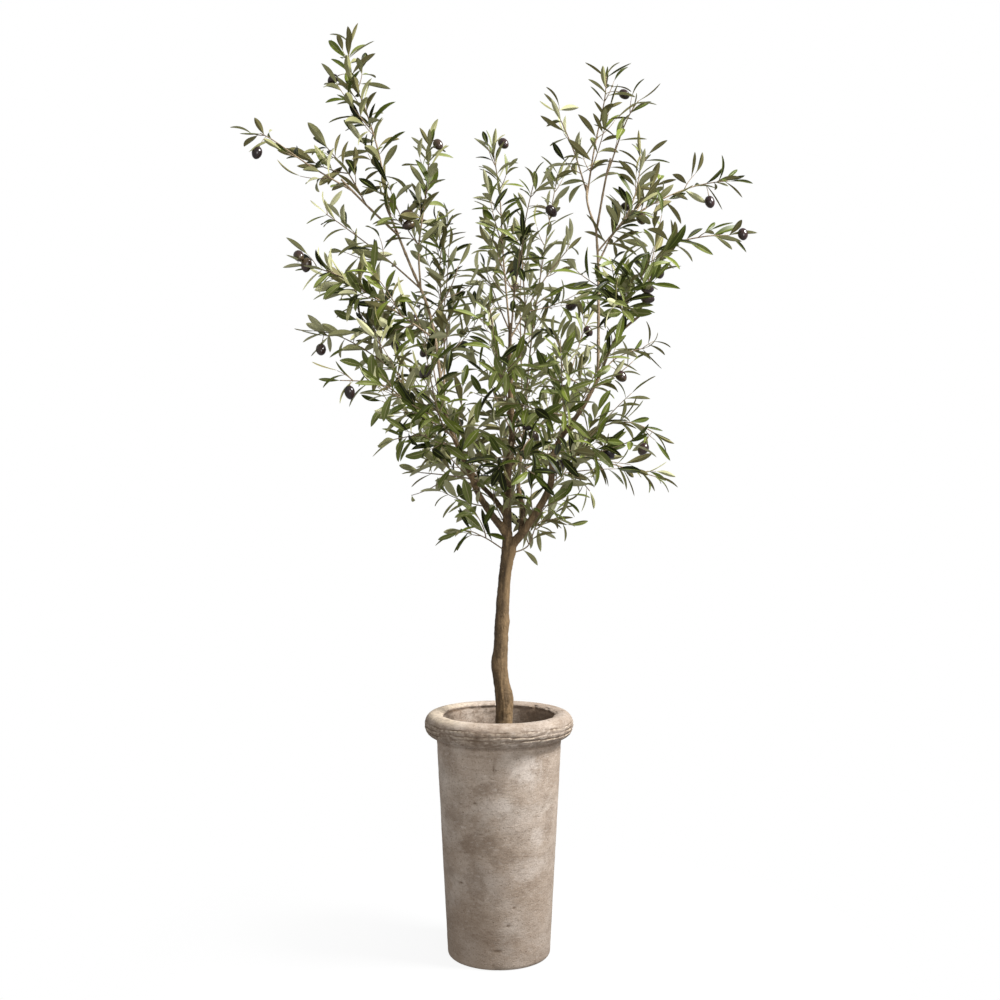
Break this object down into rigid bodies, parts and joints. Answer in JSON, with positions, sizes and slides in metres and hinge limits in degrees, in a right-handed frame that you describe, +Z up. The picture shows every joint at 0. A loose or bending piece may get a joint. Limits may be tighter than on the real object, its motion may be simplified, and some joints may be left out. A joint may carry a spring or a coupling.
{
  "type": "potted artificial olive tree",
  "caption": "Tall airy olive tree with a leaning trunk, forked limbs and long leafy sprays, standing in a tall tapered clay pot with a rolled rim.",
  "frame": {"origin": "middle of the pot's flat underside", "axes": "+Z up through the pot, +X to the tree's right as it is seen from the front, -Y towards the front"},
  "size_m": [1.19, 0.93, 2.129],
  "materials": {
    "clay": "unglazed terracotta, limewashed and weathered to a warm grey with brown blotches, matt",
    "fill": "dark loose potting filler, matt",
    "bark": "brown olive bark with shallow ridges and knots, matt",
    "foliage": "grey-green olive leaves with paler undersides, satin, with dark glossy olives"
  },
  "bodies": {
    "root": {"back_centre": "foliage", "back_high": "foliage", "back_left": "foliage", "back_low_left": "foliage", "back_low_right": "foliage", "back_right": "foliage", "centre_slim": "foliage", "core_centre": "foliage", "core_left": "foliage", "core_right": "foliage", "core_upper": "foliage", "core_upper_left": "foliage", "far_left_branchlet": "foliage", "far_left_high": "foliage", "far_left_low": "foliage", "far_left_middle": "foliage", "far_right_high": "foliage", "far_right_middle": "foliage", "fill": "fill", "front_centre": "foliage", "front_high": "foliage", "front_left": "foliage", "front_low": "foliage", "front_right": "foliage", "inner_left": "foliage", "inner_right": "foliage", "left_edge": "foliage", "left_edge_upper": "foliage", "left_low": "foliage", "left_skirt": "foliage", "left_under": "foliage", "limb_back": "bark", "limb_leader": "bark", "limb_left_lower": "bark", "limb_left_upper": "bark", "limb_right": "bark", "low_left": "foliage", "low_right": "foliage", "pot": "clay", "right_low": "foliage", "right_low_outer": "foliage", "right_middle": "foliage", "right_near": "foliage", "right_under": "foliage", "right_upright": "foliage", "stem_far_left": "bark", "stem_left_tall": "bark", "stem_right_out": "bark", "stem_right_tall": "bark", "stem_top_right_left": "bark", "stem_top_right_right": "bark", "top_back_right": "foliage", "top_centre": "foliage", "top_left": "foliage", "top_right_left": "foliage", "top_right_right": "foliage", "top_right_twig": "foliage", "trunk": "bark", "upper_left": "foliage"}
  },
  "joints": []
}
